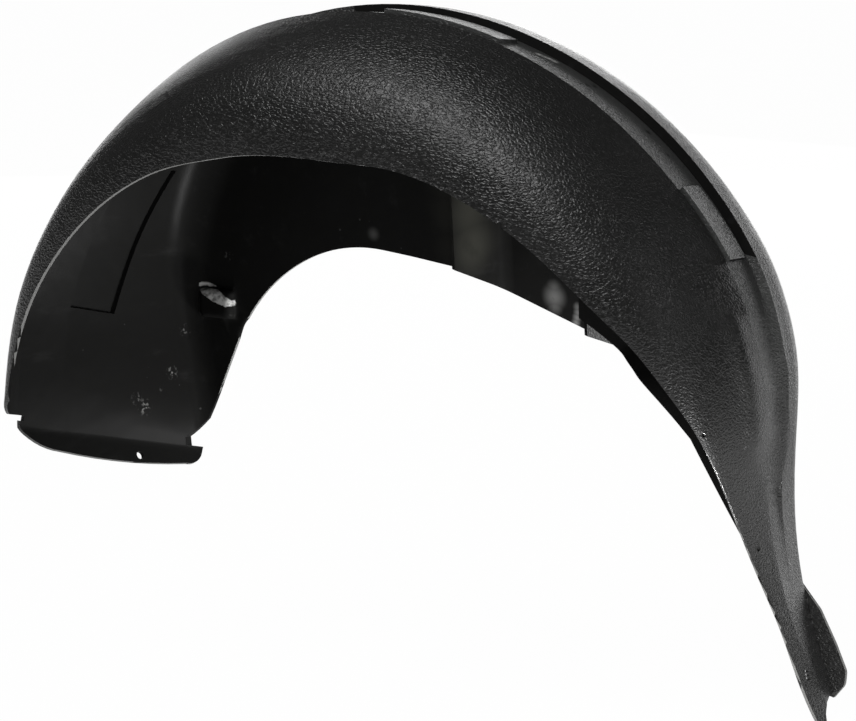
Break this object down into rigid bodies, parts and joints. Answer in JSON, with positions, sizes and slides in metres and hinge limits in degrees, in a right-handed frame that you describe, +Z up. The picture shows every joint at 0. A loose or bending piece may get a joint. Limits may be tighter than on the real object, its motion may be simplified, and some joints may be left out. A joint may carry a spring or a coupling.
{
  "type": "wheel-arch liner",
  "caption": "Black plastic wheel-arch liner: a vacuum-formed arched mudguard with a rounded shoulder, a stepped crest, a screw flange at one end and a tapering tail.",
  "frame": {"origin": "centre of the screw hole in the flange at the leg's end, on the face away from the wheel", "axes": "+X along the car from the leg to the tail, +Y along the axle towards the middle of the car, +Z up"},
  "size_m": [0.6418, 0.2507, 0.4852],
  "materials": {
    "black_plastic": "leather-grained outside, smooth satin inside with scuffs"
  },
  "bodies": {
    "root": {"wheel_arch_liner": "black_plastic"}
  },
  "joints": []
}
